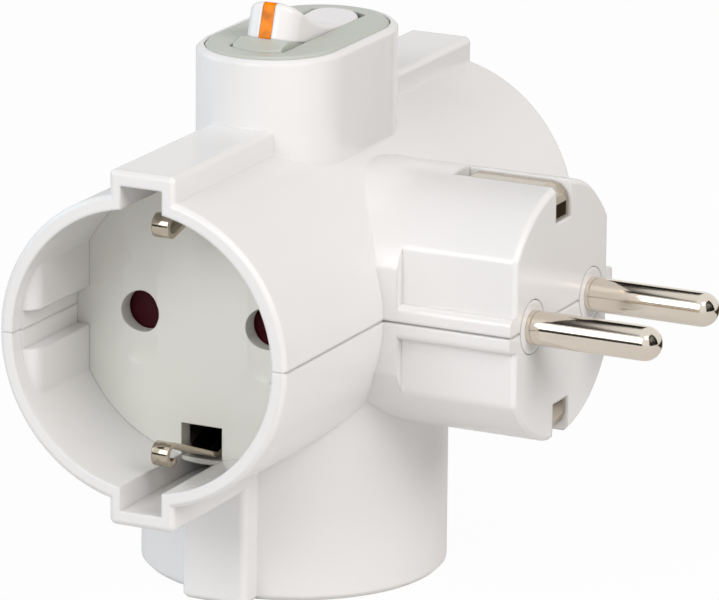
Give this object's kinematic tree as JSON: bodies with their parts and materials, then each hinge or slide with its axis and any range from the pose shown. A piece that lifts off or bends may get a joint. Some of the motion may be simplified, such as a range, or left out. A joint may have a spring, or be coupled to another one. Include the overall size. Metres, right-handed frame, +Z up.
{
  "type": "multi socket adapter",
  "caption": "White mains adapter with round earthed socket wells on its sides and bottom, a round-pin plug, and a tower with a lit rocker switch.",
  "frame": {"origin": "centre of the plug's end face, midway between the pins", "axes": "+X out along the plug pins, +Y towards the back socket, +Z up through the switch tower"},
  "size_m": [0.0812, 0.091, 0.0811],
  "materials": {
    "housing_white": "glossy warm-white moulding",
    "plate_white": "slightly grey-green white moulding",
    "shutter_red": "dark red moulding",
    "cap_plastic": "plain moulding",
    "spring_steel": "spring wire",
    "nickel": "nickel-plated spring strip",
    "pin_metal": "nickel-plated brass, polished",
    "contact_brass": "stamped brass strip",
    "insulator": "plain insulating moulding",
    "holder_white": "glossy warm-white moulding",
    "bezel_grey": "satin light-grey moulding",
    "rocker_white": "glossy white moulding",
    "lens_orange": "clear orange lens",
    "lamp_glass": "small glass lamp",
    "resistor_body": "lacquered body"
  },
  "bodies": {
    "housing": {"upper_housing": "housing_white", "lower_housing": "housing_white", "front_socket_plate": "plate_white", "back_socket_plate": "plate_white", "bottom_socket_plate": "plate_white", "front_shutter_cap": "cap_plastic", "back_shutter_cap": "cap_plastic", "bottom_shutter_cap": "cap_plastic", "front_shutter_spring": "spring_steel", "back_shutter_spring": "spring_steel", "bottom_shutter_spring": "spring_steel", "front_earth_clip": "nickel", "back_earth_clip": "nickel", "bottom_earth_clip": "nickel", "plug_earth_clip": "nickel", "earth_bridge": "nickel", "live_pin": "pin_metal", "neutral_pin": "pin_metal", "live_bus": "contact_brass", "neutral_bus": "contact_brass", "live_strap": "contact_brass", "neutral_strap": "contact_brass", "centre_terminal": "contact_brass", "contact_carrier": "insulator", "switch_base": "insulator", "pin_holder": "holder_white", "switch_bezel": "bezel_grey", "neon_lamp": "lamp_glass", "lamp_resistor": "resistor_body"},
    "front_shutter": {"front_shutter": "shutter_red"},
    "back_shutter": {"back_shutter": "shutter_red"},
    "bottom_shutter": {"bottom_shutter": "shutter_red"},
    "rocker": {"rocker_base": "bezel_grey", "rocker_cap": "rocker_white", "rocker_lens": "lens_orange", "plunger_spring": "spring_steel"},
    "plunger": {"plunger": "insulator"},
    "seesaw": {"seesaw_contact": "contact_brass"}
  },
  "joints": [
    {"name": "front_shutter_turn", "type": "hinge", "parent": "housing", "child": "front_shutter", "pos_m": [-0.0406, 0, 0], "axis": [0, -1, 0], "range_deg": [0, 40], "stiffness_Nm_per_rad": 0.002, "springref_deg": -22.92, "deforming": ["front_shutter_spring"]},
    {"name": "back_shutter_turn", "type": "hinge", "parent": "housing", "child": "back_shutter", "pos_m": [-0.0406, 0, 0], "axis": [0, 1, 0], "range_deg": [0, 40], "stiffness_Nm_per_rad": 0.002, "springref_deg": -22.92, "deforming": ["back_shutter_spring"]},
    {"name": "bottom_shutter_turn", "type": "hinge", "parent": "housing", "child": "bottom_shutter", "pos_m": [-0.0406, 0, 0], "axis": [0, 0, -1], "range_deg": [0, 40], "stiffness_Nm_per_rad": 0.002, "springref_deg": -22.92, "deforming": ["bottom_shutter_spring"]},
    {"name": "rocker_tilt", "type": "hinge", "parent": "housing", "child": "rocker", "pos_m": [-0.0406, 0, 0.0275], "axis": [1, 0, 0], "range_deg": [0, 28]},
    {"name": "plunger_press", "type": "slide", "parent": "rocker", "child": "plunger", "axis": [0, 0.2419, 0.9703], "range_m": [0, 0.0005], "stiffness_N_per_m": 100, "deforming": ["plunger_spring"]},
    {"name": "seesaw_tilt", "type": "hinge", "parent": "housing", "child": "seesaw", "pos_m": [-0.0406, 0, 0.018], "axis": [1, 0, 0], "range_deg": [-16, 0]}
  ],
  "couplings": [
    {"joint": "seesaw_tilt", "follows": "rocker_tilt", "ratio": -0.5714}
  ]
}
